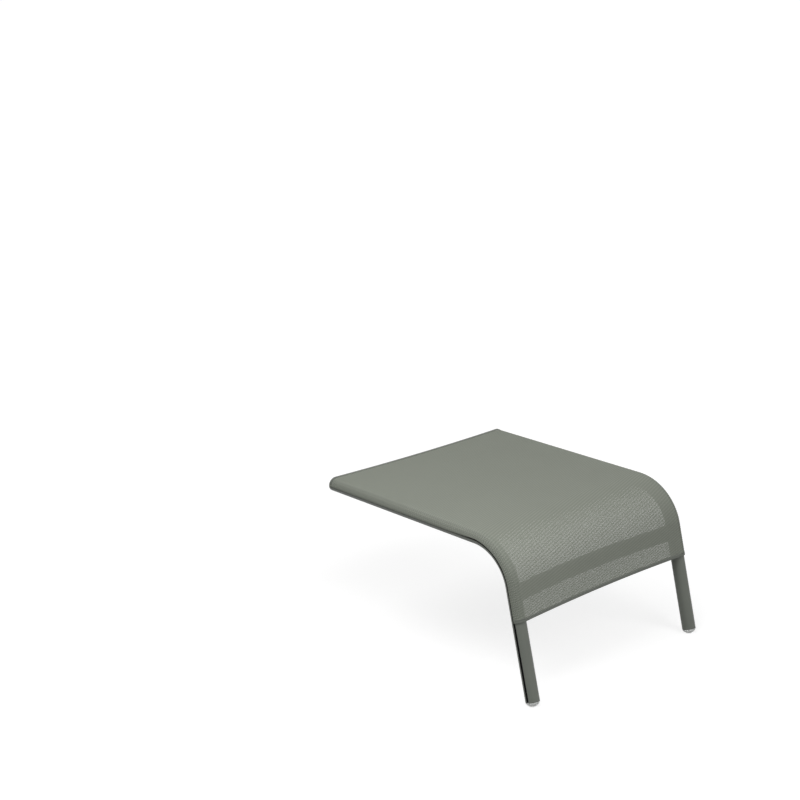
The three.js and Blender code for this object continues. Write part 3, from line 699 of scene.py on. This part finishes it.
def sling_mesh():
    """Both faces of the cloth, half its thickness to either side of the section, as one closed loop that
    is carried from the rear edge to the front one. The rows follow both arched edges, where the
    thickness falls to nothing. The attribute inner is 0 on the outer face and 1 on the inner one."""
    along = stations(REAR_EDGE, HEM, straight_steps=12, bend_steps=56)
    thickness_shares = np.concatenate([[0.0], np.ones(len(along)), [0.0]])[:, None]
    along = np.concatenate([along[:1], along, along[-1:]])[:, None]
    front_share = np.clip((along - BEND_LENGTH) / (HEM - BEND_LENGTH), 0.0, 1.0)
    rear_share = np.clip(along / REAR_EDGE, 0.0, 1.0)
    lift_share = np.interp(along, LIFT_PLACES, LIFT_SHARES)[..., None]
    faces = [(slice(None), 0.5), (slice(None, None, -1), -0.5)]
    low, high = [np.vstack([shape[order] for order, _ in faces]) for shape in (low_section, section)]
    across, rise = np.moveaxis(low + (high - low) * lift_share, -1, 0)
    thick = off_section * thickness[:, None]
    off_middle = np.vstack([thick[order] * half_share for order, half_share in faces])
    spread = np.concatenate([run[order] for order, _ in faces])
    distance = along - front_share * drawn_in(across, HEM_ARCH)
    distance = distance + rear_share * drawn_in(across, REAR_ARCH)
    across = across + thickness_shares * off_middle[:, 0]
    points = place(distance, across, rise + thickness_shares * off_middle[:, 1])
    inner = np.broadcast_to(np.repeat([0.0, 1.0], len(run)), points.shape[:2])
    cloth_map = np.stack(np.broadcast_arrays(spread, distance), axis=-1).reshape(-1, 2)
    marks = {"cloth_map": cloth_map, "inner": inner}
    return grid_mesh("sling_cloth", points, wrap=(False, True), sharp_degrees=60.0, **marks)


sling = add_piece(sling_mesh(), mesh_finish, "sling_mesh", "sling")

# %% [markdown]
# ## Hems
#
# Front and rear, the cloth is folded over and stitched. A fold is thicker and rounder than the sheet and
# lets no light through. Its yarn is painted in darker tones than the sheet's, as painted shade for a fine
# dark band, with more painted shade along its row of stitches.
# Each is a flattened tube along the edge: a superellipse, whose sides are straight and whose edges are
# round, at each point of the section.

# %% Hem bands
HEM_WIDTH = 0.0076
HEM_THICKNESS = 0.0021
HEM_ROW = 0.0021
HEM_END_ANGLE = 0.2
END_SIZE_SHARE = 0.8
VALLEY_WIDTH, HEM_VALLEY_SHADE_SHARE = 0.0006, 0.7

on_outside = np.abs(run) <= HALF + OUTER_PLY * (np.pi / 2 - HEM_END_ANGLE)
outer, outward = section[on_outside], off_section[on_outside]


def hem_mesh(name, edge, inward):
    """A flattened tube along the outer ply, closed by letting its size fall to nothing at both ends.
    Its section is (cos |cos|^-0.5, sin |sin|^-0.5) times half its width and half its thickness. The
    attribute valley is 1 along the row of stitches."""
    turn = full_turn(48)
    wide = np.sign(np.cos(turn)) * np.abs(np.cos(turn)) ** 0.5 * HEM_WIDTH / 2
    thick = np.sign(np.sin(turn)) * np.abs(np.sin(turn)) ** 0.5 * HEM_THICKNESS / 2
    size_shares = np.ones((len(outer), 1))
    size_shares[[0, -1]] = 0.0
    size_shares[[1, -2]] = END_SIZE_SHARE
    middle = edge(outer[:, :1]) + inward * HEM_WIDTH / 2
    distance = middle + wide * size_shares
    offset = outward[:, None] * (thick * size_shares)[..., None]
    across, rise = np.moveaxis(outer[:, None] + offset, -1, 0)
    valley = np.exp(-(((wide - inward * HEM_ROW) / VALLEY_WIDTH) ** 2)) * (thick > 0)
    valley = np.tile(valley, (len(outer), 1))
    points = place(distance, across, rise)
    return grid_mesh(name, points, wrap=(False, True), sharp_degrees=80.0, valley=valley)


def hem_finish():
    """The same yarn as the sheet, closed, in darker tones that are painted shade for the fold, with more
    painted shade along its row of stitches.
    """
    fold = Finish("hem_cloth", Metallic=0.0, Sheen_Weight=0.1, Sheen_Roughness=0.5)
    # Painted shade: the fold's tones are darker than the sheet's.
    tone = fold.grain((520.0, 3.0), [(92, 96, 89), (116, 120, 112)], (0.7, 0.15), (0.0002, 0.6))
    # Painted shade along the hem's row of stitches, where the valley attribute is 1.
    valley_share = fold.node("ShaderNodeAttribute", {"attribute_name": "valley"}, output="Fac")
    fold.feed(Base_Color=fold.mixed(valley_share * HEM_VALLEY_SHADE_SHARE, tone, colour(46, 49, 44)))
    return fold.material


hem_cloth = hem_finish()
front_hem = add_piece(hem_mesh("front_hem", front_edge, -1), hem_cloth, "sling_mesh")
rear_hem = add_piece(hem_mesh("rear_hem", rear_edge, 1), hem_cloth, "sling_mesh")

# %% [markdown]
# ## Stitches
#
# Two rows of stitches close each side pocket, and one row holds each hem. A stitch is a short rounded
# bar of thread, lying in the cloth. Hundreds are needed, so each has only a few faces, and a whole row
# is one array: the same small shape at every place along the row.

# %% Stitch rows
STITCH, STITCH_PITCH, THREAD = 0.0028, 0.0042, 0.0005
ROW_MARGIN, THREAD_SINK = 0.004, 0.0001

length_shares = np.array([-1.0, -0.9, -0.45, 0.45, 0.9, 1.0])[:, None]
radius_shares = np.array([0.0, 0.6, 1.0, 1.0, 0.6, 0.0])[:, None]
thread_turn = full_turn(6)
ahead_of = length_shares * STITCH / 2 + 0 * thread_turn
beside = radius_shares * np.cos(thread_turn) * THREAD
above = radius_shares * np.sin(thread_turn) * THREAD


def side_row(side, wrap_angle):
    """Stitches along a rail at an angle round it: the turn beside the row is an angle of its own."""
    first = np.arange(REAR_EDGE + ROW_MARGIN, HEM - ROW_MARGIN, STITCH_PITCH)[:, None, None]
    radius = OUTER_PLY + PLY / 2 + above
    angle = wrap_angle + beside / OUTER_PLY
    return place(first + ahead_of, side * (HALF + radius * np.cos(angle)), radius * np.sin(angle))


def hem_row(edge, inward):
    """Stitches across the footrest at a fixed distance from a hem's edge."""
    across = np.arange(-HALF + ROW_MARGIN, HALF - ROW_MARGIN, STITCH_PITCH)[:, None, None]
    distance = edge(across) + inward * (HEM_WIDTH / 2 + HEM_ROW) + beside
    return place(distance, across + ahead_of, OUTER_PLY + HEM_THICKNESS / 2 - THREAD_SINK + above)


# Twisted polyester thread, a little paler than the cloth.
thread = Finish("seam_thread", Metallic=0.0, Sheen_Weight=0.2)
thread.grain((2500.0,), [(138, 142, 133), (164, 168, 158)], (0.55, 0.2), (0.0001,))

seams = {}
for word, side in SIDES:
    seams[f"{word}_side"] = np.concatenate([side_row(side, angle) for angle in SEAM_ANGLES])
for word, edge, inward in (("front", front_edge, -1), ("rear", rear_edge, 1)):
    seams[f"{word}_hem"] = hem_row(edge, inward)
for seam, row in seams.items():
    mesh = grid_mesh(f"{seam}_stitches", row, wrap=(False, True))
    add_piece(mesh, thread.material, "sling_mesh")

# %% [markdown]
# ## Edge cords
#
# A round plastic cord fills each pocket and can't come out through the slot, which is how the sling
# hangs on the rails. Only its two ends show. It is a plain rod in rail coordinates, with its radius
# falling to nothing over the last millimetre at both ends, so the ends are closed and slightly round.

# %% Edge cords
CORD = 0.0034
CORD_MARGIN, CORD_ROUNDING, ROUNDED_SHARE = 0.0005, 0.0006, 0.8


# Extruded plastic, slightly rough to the touch.
cord = Finish("edge_cord", Metallic=0.0)
cord.grain((700.0,), [(66, 69, 64), (84, 88, 82)], (0.5, 0.15), (0.0001, 0.5))


def cord_mesh(name, side):
    """A circle carried along the channel's middle, closed at both ends."""
    along = stations(REAR_EDGE + CORD_MARGIN, HEM - CORD_MARGIN)
    first, last = along[:1], along[-1:]
    near = first + CORD_ROUNDING, along[1:-1], last - CORD_ROUNDING
    along = np.concatenate([first, first, *near, last, last])
    size = np.full(len(along), CORD)
    size[[0, -1]] = 0.0
    size[[1, -2]] = ROUNDED_SHARE * CORD
    turn = full_turn(24)
    across = side * (HALF + CHANNEL_PLACE + size[:, None] * np.cos(turn))
    points = place(along[:, None], across, size[:, None] * np.sin(turn))
    return grid_mesh(name, points, wrap=(False, True), sharp_degrees=50.0)


for word, side in SIDES:
    mesh = cord_mesh(f"{word}_edge_cord", side)
    add_piece(mesh, cord.material, "cord_plastic", f"{word}_keder_cord")

# %% [markdown]
# ## Foot glides and rear plugs
#
# Each leg ends in a pale domed glide, and each rail's rear end is closed by a shallow dark plug. Both
# are turned shapes: a profile of radius against distance, carried round the tube's axis. Rail
# coordinates do the turning, because near a tube's end they are straight. The glide is worn flat where
# it stands, which is one np.maximum on its height above the floor.

# %% Plastics
def plastic(name, dark, pale, rough, skin_scale, clear_share=0.0):
    """A moulded plastic: two close tones, an eggshell skin, and a gloss that drifts a little. Some
    light passes through a clear one."""
    shell = Finish(name, Metallic=0.0, IOR=1.48, Transmission_Weight=clear_share)
    here = shell.object_place()
    cloud, skin = shell.noise(here, scale=60.0), shell.noise(here, skin_scale)
    shell.feed(
        Base_Color=shell.mixed(cloud, colour(*dark), colour(*pale)),
        Roughness=rough + (cloud - 0.5) * 0.12,
        Normal=shell.relief(skin, distance=0.00005, strength=0.6),
    )
    return shell.material


pale_tones, dark_tones = [(236, 238, 236), (247, 248, 246)], [(34, 36, 33), (46, 48, 45)]
pale_plastic = plastic("pale_plastic", *pale_tones, rough=0.34, skin_scale=500.0, clear_share=0.45)
dark_plastic = plastic("dark_plastic", *dark_tones, rough=0.5, skin_scale=1200.0)
print("plastics", pale_plastic.name, dark_plastic.name)

# %% Turned ends
SEAT_GAP, DOME_STEP = 0.0003, 0.0002
SOFT_EDGE = [(SEAT_GAP, TUBE - 0.0006), (SEAT_GAP + 0.0002, TUBE - 0.0001)]
GLIDE_FLANGE = 0.0015
PLUG_HEIGHT, PLUG_FLANGE = 0.0040, 0.0012


def dome_profile(height, flange):
    """(beyond the tube's end, radius): a flat seat, a short flange with a soft edge, then a cap of the
    sphere that starts a step inside the flange's edge and ends at the dome's top."""
    rise, base = height - flange, TUBE - DOME_STEP
    sphere = (base**2 + rise**2) / (2 * rise)
    cap = np.linspace(np.arcsin(base / sphere), 0.0, 20)
    seat = [(SEAT_GAP, 0.0), *SOFT_EDGE, (flange, TUBE)]
    dome = np.column_stack([height - sphere + sphere * np.cos(cap), sphere * np.sin(cap)])
    return np.vstack([seat, dome])


def end_mesh(name, side, end, outwards, profile):
    """A profile turned about a rail's axis, beyond the rail's end, and cut off flat at the floor."""
    turn = full_turn(64)
    beyond, radius = profile[:, :1], profile[:, 1:]
    across = side * HALF + radius * np.cos(turn)
    points = place(end + outwards * beyond + 0 * turn, across, radius * np.sin(turn))
    points[..., 2] = np.maximum(points[..., 2], 0.0)
    return grid_mesh(name, points, wrap=(False, True), sharp_degrees=50.0)


for word, side in SIDES:
    glide = end_mesh(f"{word}_glide", side, FOOT_END, 1, dome_profile(GLIDE_HEIGHT, GLIDE_FLANGE))
    add_piece(glide, pale_plastic, "pale_plastic", f"{word}_foot_glide")
    cap = dome_profile(PLUG_HEIGHT, PLUG_FLANGE)
    plug = end_mesh(f"{word}_end_plug", side, -TOP_LENGTH, -1, cap)
    add_piece(plug, dark_plastic, "dark_plastic", f"{word}_rear_plug")

# %% [markdown]
# ## Hooks
#
# Two extruded brackets sit over the rear crossbar and hook down over the bar that carries them, each
# with a plastic liner. An extrusion has one outline, drawn here in the bracket's own plane: rearwards
# and up from the crossbar's axis. A Bevel modifier then breaks its edges as a tumbled part's are.

# %% Hook outlines
HOOK_PLACE, HOOK_WIDTH = 0.100, 0.030
FIT, WALL = 0.0003, 0.004
JAW, CORNER = 0.005, 0.004
CARRYING_BAR, PLAY, LINER = 0.015, 0.0005, 0.0015
FRONT_DROP, JAW_DROP, REAR_DROP, LINER_DROP = -0.005, -0.008, -0.009, -0.006
SHARP_DEGREES = 30.0
INNER = TUBE + FIT
ROOF = INNER + WALL
POCKET = INNER + JAW
POCKET_BACK = POCKET + 2 * (CARRYING_BAR + PLAY + LINER + FIT)


def corner_arc(rear, start):
    """A rounded outer corner of the roof, (rearwards, up), over a quarter turn."""
    quarter = arc(0.0, CORNER, start, start + np.pi / 2, 7)
    return quarter + [rear, ROOF - CORNER]


def hook_outline():
    """The bracket's outline: over the crossbar, down between the two bars, and over the other one."""
    back = POCKET_BACK + WALL
    front_leg = [(-ROOF, FRONT_DROP), (-INNER, FRONT_DROP), (-INNER, INNER)]
    jaw = [(INNER, INNER), (INNER, JAW_DROP), (POCKET, JAW_DROP), (POCKET, INNER)]
    rear_leg = [(POCKET_BACK, INNER), (POCKET_BACK, REAR_DROP), (back, REAR_DROP)]
    roof = [corner_arc(back - CORNER, 0.0), corner_arc(CORNER - ROOF, np.pi / 2)]
    return np.vstack([*roof, front_leg, jaw, rear_leg])


def liner_outline():
    """A channel of even wall that lines the hook's pocket."""
    start, end, top = POCKET + FIT, POCKET_BACK - FIT, INNER - FIT
    near, far, ceiling = start + LINER, end - LINER, top - LINER
    outside = [(end, top), (start, top), (start, LINER_DROP)]
    inside = [(near, LINER_DROP), (near, ceiling), (far, ceiling), (far, LINER_DROP)]
    return np.array([*outside, *inside, (end, LINER_DROP)])


def on_hook(side, across, rear, up):
    """Points in a bracket's own frame, whose origin is on the rear crossbar's axis."""
    a, r = bowed(side * HOOK_PLACE, across, up)
    return place(REAR_BAR - rear, a, r)


def add_extruded(name, side, outline, bevel, finish, slot, node):
    """Both faces of an outline and the strip of quads round it, with its edges broken."""
    count = len(outline)
    ends = np.array([[-HOOK_WIDTH / 2], [HOOK_WIDTH / 2]])
    points = on_hook(side, ends, outline[:, 0], outline[:, 1]).reshape(-1, 3)
    ring = np.arange(count)
    walls = np.column_stack([ring, np.roll(ring, -1), np.roll(ring, -1) + count, ring + count])
    mesh = bpy.data.meshes.new(name)
    faces = [ring[::-1].tolist(), (ring + count).tolist(), *walls.tolist()]
    mesh.from_pydata(points.tolist(), [], faces)
    tidy(mesh, SHARP_DEGREES)
    piece = add_piece(mesh, finish, slot, node)
    edge = piece.modifiers.new("broken_edges", "BEVEL")
    edge.width, edge.segments, edge.limit_method = bevel, 3, "ANGLE"
    edge.angle_limit = np.radians(SHARP_DEGREES)
    edge.harden_normals = True


for word, side in SIDES:
    for name, outline, bevel, finish, slot, node in (
        ("hook", hook_outline(), 0.0005, frame_coat, "frame_paint", "hook_bracket"),
        ("liner", liner_outline(), 0.0003, dark_plastic, "dark_plastic", "hook_liner"),
    ):
        add_extruded(f"{word}_{name}", side, outline, bevel, finish, slot, f"{word}_{node}")

# %% [markdown]
# ## Screws
#
# Two stainless button-head screws hold each bracket: one through its roof and one through its front
# leg. A screw is turned, but its drive is a hexagon, so the radius of the socket's rows depends on the
# angle: a / cos of the angle from the nearest flat's middle. One grid then runs from the socket's floor,
# over the button head and down the shank to its tip.

# %% Stainless steel
# Turned steel with a fine grain and a slight drift of gloss.
steel = Finish("stainless_steel", Metallic=1.0)
steel.grain((1500.0, 3.0), [(176, 176, 172), (206, 205, 200)], (0.26, 0.14), (0.00003, 0.5))
print("steel nodes", len(steel.tree.nodes))

# %% Button-head screws
HEAD, HEAD_HEIGHT = 0.0046, 0.0026
SHANK, SHANK_LENGTH = 0.0024, 0.013
KEY, KEY_DEPTH = 0.0015, 0.0014
CROWN, RIM_SHARE = 0.0021, 0.35
TIP_LENGTH, TIP_SHARE = 0.001, 0.7
SCREW_OFFSET, SEAT = 0.007, ROOF + FIT


def screw_grid():
    """(x, y, z) in the screw's own frame, with z outwards from the head's seat."""
    turn = full_turn(48)
    hexagon = KEY / np.cos((turn + np.pi / 6) % (np.pi / 3) - np.pi / 6)
    button = np.linspace(0.0, np.pi / 2, 9)
    crown = CROWN + (HEAD - CROWN) * np.sin(button)
    crown_z = HEAD_HEIGHT * (RIM_SHARE + (1 - RIM_SHARE) * np.cos(button))
    whole = np.ones_like(turn)
    floor_z = HEAD_HEIGHT - KEY_DEPTH
    rows = [(0 * turn, floor_z), (hexagon, floor_z), (hexagon, HEAD_HEIGHT)]
    rows += [(radius * whole, z) for radius, z in zip(crown, crown_z)]
    rows += [(HEAD * whole, 0.0), (SHANK * whole, 0.0), (SHANK * whole, TIP_LENGTH - SHANK_LENGTH)]
    rows += [(TIP_SHARE * SHANK * whole, -SHANK_LENGTH), (0 * turn, -SHANK_LENGTH)]
    radius = np.array([row[0] for row in rows])
    z = np.array([row[1] for row in rows])[:, None] + 0 * turn
    return radius * np.cos(turn), radius * np.sin(turn), z


x, y, z = screw_grid()
for word, side in SIDES:
    seats = {
        "top": on_hook(side, x - SCREW_OFFSET, y, z + SEAT),
        "front": on_hook(side, x + SCREW_OFFSET, -z - SEAT, y),
    }
    for way, points in seats.items():
        mesh = grid_mesh(f"{word}_{way}_screw", points, wrap=(False, True), sharp_degrees=40.0)
        add_piece(mesh, steel.material, "screw_steel", f"{word}_{way}_hook_screw")

# %% [markdown]
# ## The small solids that stay
#
# The blind inserts inside the rear crossbar, and the stops that close the slots below the hem, already
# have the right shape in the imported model. They keep it, and only get a finish.

# %% Finishes for the kept solids
KEPT = {"keder_stop": dark_plastic}
KEPT |= dict.fromkeys(["stop_screw", "top_insert", "front_insert"], steel.material)
for word, _ in SIDES:
    for node, finish in KEPT.items():
        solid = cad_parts[f"{word}_{node}"]
        solid.data.materials.clear()
        solid.data.materials.append(finish)
print("kept solids finished")

# %% [markdown]
# ## Floor and light
#
# The footrest stands on a plain floor. Two wide soft lamps light it, one from above and behind on the
# left and one from the front, with even light from all round. Area lamps would light the far floor less
# and turn it grey, so both are suns with a wide disc. A third, small lamp hangs near the left edge: its
# light falls off with distance, so that the sling grows slightly darker towards the rear right.
# The white background comes from the floor's own colour. For the camera, and for glossy and transmitted
# rays, it is a soft diffuse that glows up to white, and keeps the shadow. For the light that it throws
# back up it is a mid grey, so that the undersides stay as dark as in a real room.

# %% Studio
REAR_SUN, FRONT_SUN, NEAR_WATTS, SKY = 0.80, 0.88, 7.2, 0.245
SUN_DISC, NEAR_SIZE = np.radians(40.0), 0.6
REAR_ANGLES, FRONT_ANGLES, NEAR_ANGLES = (-140.2, 62.5), (0.0, 42.0), (-50.0, 52.0)
REAR_SPOT, FRONT_SPOT, NEAR_SPOT = [-1.0, 1.2, 3.0], [0.0, -1.0, 0.9], [-0.80, -0.45, 1.3]
BOUNCED_GREY, SEEN_GREY, SEEN_GLOW = 0.30, 0.36, 0.785
FLOOR_REACH, FLOOR_GAP = 60, 0.0002


def white_for_the_eye(tree):
    """1 for camera, glossy and transmission rays, and 0 for all others."""
    path = tree.nodes.new("ShaderNodeLightPath")
    total = path.outputs["Is Camera Ray"]
    for ray in ("Is Glossy Ray", "Is Transmission Ray"):
        either = tree.nodes.new("ShaderNodeMath")
        either.operation = "MAXIMUM"
        tree.links.new(total, either.inputs[0])
        tree.links.new(path.outputs[ray], either.inputs[1])
        total = either.outputs[0]
    return total


def floor_finish():
    """Two shaders: for the eye a diffuse one whose glow brings it to white, and grey for bounced light."""
    material = bpy.data.materials.new("studio_floor")
    material.use_nodes = True
    tree = material.node_tree
    tree.nodes.clear()
    output, choice = tree.nodes.new("ShaderNodeOutputMaterial"), tree.nodes.new("ShaderNodeMixShader")
    grey, white = tree.nodes.new("ShaderNodeBsdfDiffuse"), tree.nodes.new("ShaderNodeBsdfPrincipled")
    grey.inputs["Color"].default_value = (*[BOUNCED_GREY] * 3, 1.0)
    white.inputs["Base Color"].default_value = (*[SEEN_GREY] * 3, 1.0)
    white.inputs["Roughness"].default_value = 1.0
    white.inputs["Specular IOR Level"].default_value = 0.0
    white.inputs["Emission Color"].default_value = (1.0, 1.0, 1.0, 1.0)
    white.inputs["Emission Strength"].default_value = SEEN_GLOW
    tree.links.new(white_for_the_eye(tree), choice.inputs[0])
    tree.links.new(grey.outputs[0], choice.inputs[1])
    tree.links.new(white.outputs[0], choice.inputs[2])
    tree.links.new(choice.outputs[0], output.inputs[0])
    return material


floor_mesh = bpy.data.meshes.new("studio_floor")
floor_corners = [(x * FLOOR_REACH, y * FLOOR_REACH, 0) for x, y in ((-1, -1), (1, -1), (1, 1), (-1, 1))]
floor_mesh.from_pydata(floor_corners, [], [(0, 1, 2, 3)])
floor_mesh.materials.append(floor_finish())
floor = bpy.data.objects.new("studio_floor", floor_mesh)
floor.location.z = -FLOOR_GAP
bpy.context.scene.collection.objects.link(floor)


def lamp(kind, name, energy, azimuth, elevation, spot):
    """A lamp at a spot. It shines down on the footrest from an azimuth and an elevation."""
    data = bpy.data.lights.new(name, kind)
    data.energy = energy
    light = bpy.data.objects.new(name, data)
    light.matrix_world = camera_matrix(azimuth, elevation, 0.0, spot)
    bpy.context.scene.collection.objects.link(light)
    return data


lamp("SUN", "rear_lamp", REAR_SUN, *REAR_ANGLES, REAR_SPOT).angle = SUN_DISC
lamp("SUN", "front_lamp", FRONT_SUN, *FRONT_ANGLES, FRONT_SPOT).angle = SUN_DISC
lamp("AREA", "near_lamp", NEAR_WATTS, *NEAR_ANGLES, NEAR_SPOT).size = NEAR_SIZE

world = bpy.data.worlds.new("studio_sky")
world.use_nodes = True
bpy.context.scene.world = world
sky = world.node_tree
strength, background = sky.nodes.new("ShaderNodeMapRange"), sky.nodes["Background"]
strength.inputs["To Min"].default_value = SKY
strength.inputs["To Max"].default_value = 1.0
sky.links.new(white_for_the_eye(sky), strength.inputs["Value"])
background.inputs["Color"].default_value = (1.0, 1.0, 1.0, 1.0)
sky.links.new(strength.outputs[0], background.inputs["Strength"])
print("lamps", REAR_SUN, FRONT_SUN, NEAR_WATTS, "sky", SKY)
